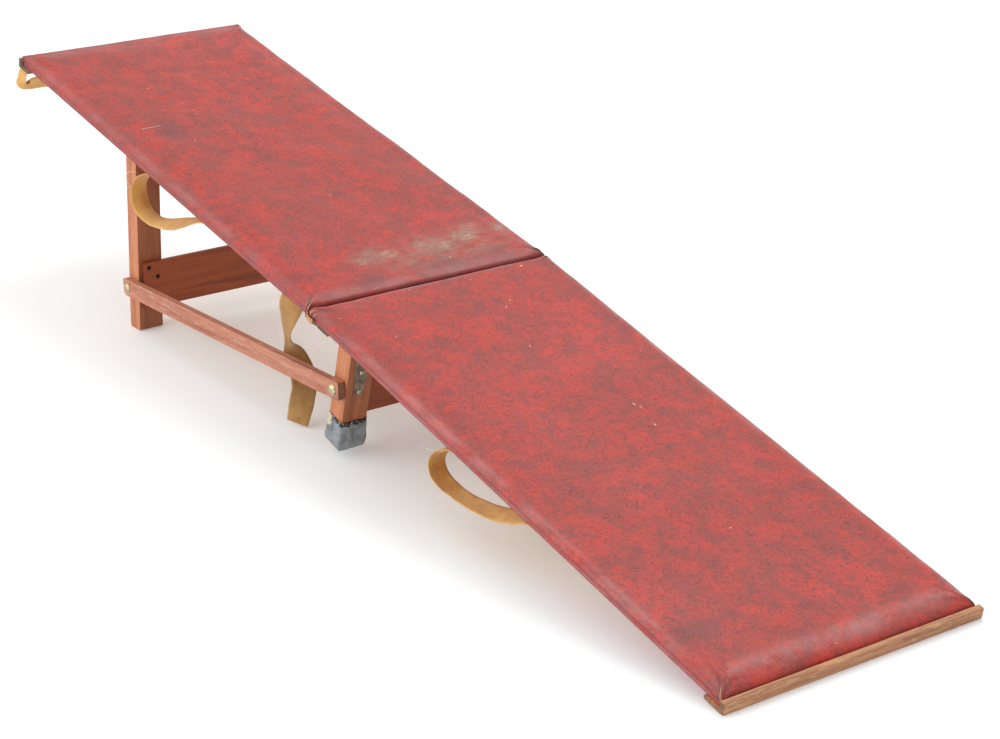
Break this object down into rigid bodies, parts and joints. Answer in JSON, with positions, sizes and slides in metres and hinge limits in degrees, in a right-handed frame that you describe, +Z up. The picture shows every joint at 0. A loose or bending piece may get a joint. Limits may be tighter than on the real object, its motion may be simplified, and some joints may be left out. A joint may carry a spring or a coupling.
{
  "type": "folding stretcher",
  "caption": "Narrow folding ramp-shaped treatment stretcher: two padded vinyl boards hinged at the middle, wooden folding legs with side links, webbing carrying handles.",
  "frame": {"origin": "centre of the bounding box, on the floor that the stretcher stands on", "axes": "+X from the high head end to the low foot end, +Z up, so -Y is the side that has the carrying handles"},
  "size_m": [1.8106, 0.4192, 0.3687],
  "materials": {
    "red_vinyl": "coated cloth with a faint streaked grain, dull sheen",
    "foam": "soft open-cell foam sheet",
    "plywood": "bare plywood",
    "rail_wood": "worn, unvarnished",
    "leg_wood": "old varnish, worn",
    "crossbar_wood": "dark varnish",
    "hinge_steel": "darkened bronze-brown plating",
    "brass": "dull, scratched",
    "dark_screw": "darkened",
    "webbing": "woven cotton webbing",
    "tape": "cloth-backed tape, wrinkled"
  },
  "bodies": {
    "upper": {"cover_upper": "red_vinyl", "pad_upper": "foam", "board_upper": "plywood", "head_rail": "rail_wood", "fold_batten_upper": "rail_wood", "rear_hinge_near_fixed_leaf": "hinge_steel", "rear_hinge_near_pin": "hinge_steel", "rear_hinge_far_fixed_leaf": "hinge_steel", "rear_hinge_far_pin": "hinge_steel", "handle_upper": "webbing", "head_strap": "webbing", "loose_strap": "webbing", "fold_hinge_near_upper_leaf": "hinge_steel", "fold_hinge_near_pin": "hinge_steel", "fold_hinge_far_upper_leaf": "hinge_steel", "fold_hinge_far_pin": "hinge_steel"},
    "lower": {"cover_lower": "red_vinyl", "pad_lower": "foam", "board_lower": "plywood", "foot_rail": "rail_wood", "fold_batten_lower": "rail_wood", "front_hinge_near_fixed_leaf": "hinge_steel", "front_hinge_near_pin": "hinge_steel", "front_hinge_far_fixed_leaf": "hinge_steel", "front_hinge_far_pin": "hinge_steel", "handle_lower": "webbing", "fold_hinge_near_lower_leaf": "hinge_steel", "fold_hinge_far_lower_leaf": "hinge_steel"},
    "rear_legs": {"rear_hinge_near_strap_leaf": "hinge_steel", "rear_hinge_near_screw_1": "brass", "rear_hinge_near_screw_2": "brass", "rear_hinge_far_strap_leaf": "hinge_steel", "rear_hinge_far_screw_1": "brass", "rear_hinge_far_screw_2": "brass", "rear_leg_near": "leg_wood", "rear_leg_far": "leg_wood", "rear_crossbar": "crossbar_wood", "crossbar_screw_near_1": "dark_screw", "crossbar_screw_near_2": "dark_screw", "crossbar_screw_near_3": "dark_screw", "crossbar_screw_far_1": "dark_screw", "crossbar_screw_far_2": "dark_screw", "crossbar_screw_far_3": "dark_screw", "link_bolt_rear_near": "brass", "link_bolt_rear_far": "brass"},
    "front_legs": {"front_hinge_near_strap_leaf": "hinge_steel", "front_hinge_near_screw_1": "brass", "front_hinge_near_screw_2": "brass", "front_hinge_far_strap_leaf": "hinge_steel", "front_hinge_far_screw_1": "brass", "front_hinge_far_screw_2": "brass", "front_leg_near": "leg_wood", "front_leg_far": "leg_wood", "front_crossbar": "crossbar_wood", "foot_tape": "tape"},
    "link_near": {"link_near": "leg_wood", "link_bolt_front_near": "brass"},
    "link_far": {"link_far": "leg_wood", "link_bolt_front_far": "brass"}
  },
  "joints": [
    {"name": "fold_hinge", "type": "hinge", "parent": "upper", "child": "lower", "pos_m": [0.00577, 0.00238, 0.17329], "axis": [0, 1, 0], "range_deg": [0, 177.9], "deforming": ["loose_strap", "handle_upper", "handle_lower"]},
    {"name": "rear_leg_hinge", "type": "hinge", "parent": "upper", "child": "rear_legs", "pos_m": [-0.54617, 0.00238, 0.29091], "axis": [0, 1, 0], "range_deg": [0, 97.5]},
    {"name": "front_leg_hinge", "type": "hinge", "parent": "lower", "child": "front_legs", "pos_m": [0.10969, 0.00238, 0.17146], "axis": [0, 1, 0], "range_deg": [-92.3, 0]},
    {"name": "link_near_pivot", "type": "hinge", "parent": "rear_legs", "child": "link_near", "pos_m": [-0.53703, 0.00238, 0.07078], "axis": [0, 1, 0], "range_deg": [-83.7, 0]},
    {"name": "link_far_pivot", "type": "hinge", "parent": "rear_legs", "child": "link_far", "pos_m": [-0.53703, 0.00238, 0.07078], "axis": [0, 1, 0], "range_deg": [-83.7, 0]}
  ],
  "couplings": [
    {"joint": "rear_leg_hinge", "follows": "fold_hinge", "ratio": 0.54767},
    {"joint": "front_leg_hinge", "follows": "fold_hinge", "ratio": -0.51855},
    {"joint": "link_near_pivot", "follows": "fold_hinge", "ratio": -0.47023},
    {"joint": "link_far_pivot", "follows": "fold_hinge", "ratio": -0.47023}
  ]
}
